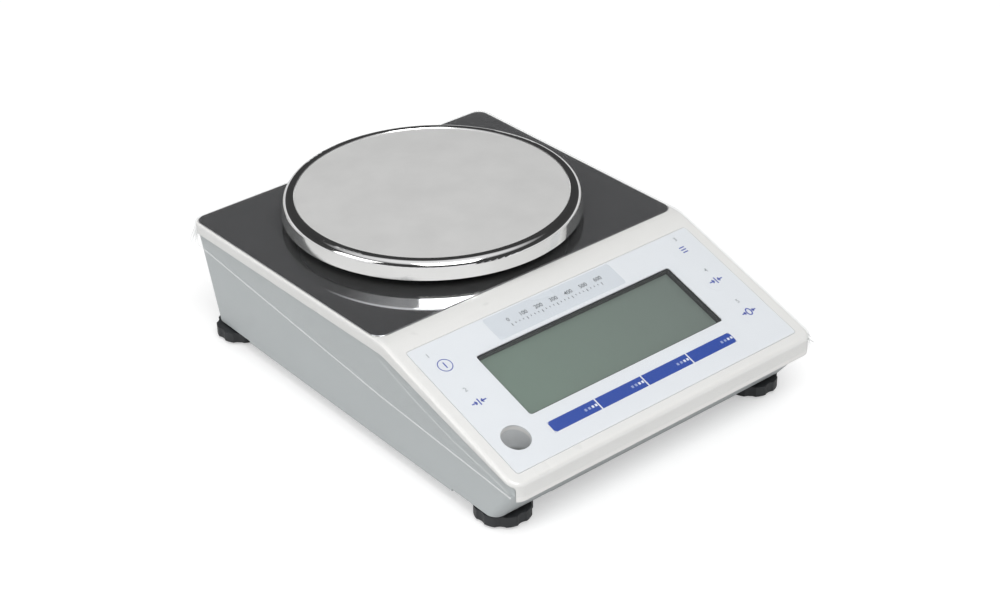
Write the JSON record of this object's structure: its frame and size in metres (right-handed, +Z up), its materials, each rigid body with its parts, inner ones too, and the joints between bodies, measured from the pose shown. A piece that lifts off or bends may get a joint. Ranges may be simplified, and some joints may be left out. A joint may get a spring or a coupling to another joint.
{
  "type": "electronic balance",
  "caption": "Top-loading electronic balance with a round steel pan, a sloping key panel with a display, a spirit level and screw feet.",
  "frame": {"origin": "on the table under the middle of the whole outline, the cover's ears included", "axes": "+X to the right seen from the front, +Y from the key panel to the rear, +Z up"},
  "size_m": [0.1814, 0.2354, 0.0728],
  "materials": {
    "tray_plastic": "fine textured light grey moulding",
    "shell_plastic": "smooth white moulding",
    "mirror_steel": "mirror polished steel",
    "clear_film": "thin clear formed film",
    "pan_steel": "satin steel with a polished rolled edge",
    "cast_alloy": "as cast, light blasting",
    "machined_alloy": "machined",
    "black_rubber": "soft black rubber",
    "plated_steel": "bright zinc or nickel plating",
    "printed_sheet": "printed polyester sheet",
    "clear_window": "clear acrylic",
    "dark_plastic": "black moulding",
    "display_glass": "grey-green liquid crystal glass, blank",
    "display_backlight": "milky light guide",
    "circuit_board": "green lacquered board",
    "level_liquid": "yellow-green level liquid",
    "brass_insert": "turned brass",
    "ribbon_plastic": "grey flat cable",
    "panel_key": "printed key top like the sheet",
    "blue_key": "printed blue key top",
    "foot_plastic": "black moulded knob"
  },
  "bodies": {
    "case": {"lower_case": "tray_plastic", "upper_case": "shell_plastic", "top_plate": "mirror_steel", "clear_cover": "clear_film", "force_sensor": "machined_alloy", "tuning_fork": "machined_alloy", "sensor_bridge": "cast_alloy", "overload_stops": "plated_steel", "panel_sheet": "printed_sheet", "display_window": "clear_window", "display_frame": "dark_plastic", "display_glass": "display_glass", "display_backlight": "display_backlight", "display_board": "circuit_board", "key_domes": "plated_steel", "level_well": "dark_plastic", "level_vial": "clear_window", "level_liquid": "level_liquid", "foot_inserts": "brass_insert", "case_screws": "plated_steel", "board_screws": "plated_steel", "main_board": "circuit_board", "ribbon_cable": "ribbon_plastic", "power_jack": "dark_plastic", "serial_port": "plated_steel", "port_pins": "dark_plastic", "port_screws": "plated_steel"},
    "pan_carrier": {"load_arm": "machined_alloy", "pan_support": "cast_alloy", "pan_cushions": "black_rubber"},
    "pan": {"weighing_pan": "pan_steel"},
    "key_power": {"key_power": "panel_key"},
    "key_tare_left": {"key_tare_left": "panel_key"},
    "key_menu": {"key_menu": "panel_key"},
    "key_tare_right": {"key_tare_right": "panel_key"},
    "key_zero": {"key_zero": "panel_key"},
    "key_function_1": {"key_function_1": "blue_key"},
    "key_function_2": {"key_function_2": "blue_key"},
    "key_function_3": {"key_function_3": "blue_key"},
    "key_function_4": {"key_function_4": "blue_key"},
    "foot_base_fl": {"foot_pad_fl": "black_rubber"},
    "foot_screw_fl": {"foot_knob_fl": "foot_plastic", "foot_stud_fl": "plated_steel"},
    "foot_base_fr": {"foot_pad_fr": "black_rubber"},
    "foot_screw_fr": {"foot_knob_fr": "foot_plastic", "foot_stud_fr": "plated_steel"},
    "foot_base_rl": {"foot_pad_rl": "black_rubber"},
    "foot_screw_rl": {"foot_knob_rl": "foot_plastic", "foot_stud_rl": "plated_steel"},
    "foot_base_rr": {"foot_pad_rr": "black_rubber"},
    "foot_screw_rr": {"foot_knob_rr": "foot_plastic", "foot_stud_rr": "plated_steel"}
  },
  "joints": [
    {"name": "weighing_travel", "type": "slide", "parent": "case", "child": "pan_carrier", "axis": [0, 0, 1], "range_m": [-0.0003, 0], "stiffness_N_per_m": 30000},
    {"name": "pan_lift", "type": "slide", "parent": "pan_carrier", "child": "pan", "axis": [0, 0, 1], "range_m": [0, 0.04]},
    {"name": "key_power_press", "type": "slide", "parent": "case", "child": "key_power", "axis": [0, 0.314, -0.9494], "range_m": [0, 0.00035], "stiffness_N_per_m": 6000},
    {"name": "key_tare_left_press", "type": "slide", "parent": "case", "child": "key_tare_left", "axis": [0, 0.314, -0.9494], "range_m": [0, 0.00035], "stiffness_N_per_m": 6000},
    {"name": "key_menu_press", "type": "slide", "parent": "case", "child": "key_menu", "axis": [0, 0.314, -0.9494], "range_m": [0, 0.00035], "stiffness_N_per_m": 6000},
    {"name": "key_tare_right_press", "type": "slide", "parent": "case", "child": "key_tare_right", "axis": [0, 0.314, -0.9494], "range_m": [0, 0.00035], "stiffness_N_per_m": 6000},
    {"name": "key_zero_press", "type": "slide", "parent": "case", "child": "key_zero", "axis": [0, 0.314, -0.9494], "range_m": [0, 0.00035], "stiffness_N_per_m": 6000},
    {"name": "key_function_1_press", "type": "slide", "parent": "case", "child": "key_function_1", "axis": [0, 0.314, -0.9494], "range_m": [0, 0.00035], "stiffness_N_per_m": 6000},
    {"name": "key_function_2_press", "type": "slide", "parent": "case", "child": "key_function_2", "axis": [0, 0.314, -0.9494], "range_m": [0, 0.00035], "stiffness_N_per_m": 6000},
    {"name": "key_function_3_press", "type": "slide", "parent": "case", "child": "key_function_3", "axis": [0, 0.314, -0.9494], "range_m": [0, 0.00035], "stiffness_N_per_m": 6000},
    {"name": "key_function_4_press", "type": "slide", "parent": "case", "child": "key_function_4", "axis": [0, 0.314, -0.9494], "range_m": [0, 0.00035], "stiffness_N_per_m": 6000},
    {"name": "foot_lift_fl", "type": "slide", "parent": "case", "child": "foot_base_fl", "axis": [0, 0, -1], "range_m": [-0.0008, 0.006]},
    {"name": "foot_turn_fl", "type": "hinge", "parent": "foot_base_fl", "child": "foot_screw_fl", "pos_m": [-0.0734, -0.09215, 0.0012], "axis": [0, 0, -1], "range_deg": [-285, 2155]},
    {"name": "foot_lift_fr", "type": "slide", "parent": "case", "child": "foot_base_fr", "axis": [0, 0, -1], "range_m": [-0.0008, 0.006]},
    {"name": "foot_turn_fr", "type": "hinge", "parent": "foot_base_fr", "child": "foot_screw_fr", "pos_m": [0.0734, -0.09215, 0.0012], "axis": [0, 0, -1], "range_deg": [-285, 2155]},
    {"name": "foot_lift_rl", "type": "slide", "parent": "case", "child": "foot_base_rl", "axis": [0, 0, -1], "range_m": [-0.0008, 0.006]},
    {"name": "foot_turn_rl", "type": "hinge", "parent": "foot_base_rl", "child": "foot_screw_rl", "pos_m": [-0.0734, 0.09915, 0.0012], "axis": [0, 0, -1], "range_deg": [-285, 2155]},
    {"name": "foot_lift_rr", "type": "slide", "parent": "case", "child": "foot_base_rr", "axis": [0, 0, -1], "range_m": [-0.0008, 0.006]},
    {"name": "foot_turn_rr", "type": "hinge", "parent": "foot_base_rr", "child": "foot_screw_rr", "pos_m": [0.0734, 0.09915, 0.0012], "axis": [0, 0, -1], "range_deg": [-285, 2155]}
  ],
  "couplings": [
    {"joint": "foot_lift_fl", "follows": "foot_turn_fl", "m_per_rad": 0.00015915},
    {"joint": "foot_lift_fr", "follows": "foot_turn_fr", "m_per_rad": 0.00015915},
    {"joint": "foot_lift_rl", "follows": "foot_turn_rl", "m_per_rad": 0.00015915},
    {"joint": "foot_lift_rr", "follows": "foot_turn_rr", "m_per_rad": 0.00015915}
  ]
}
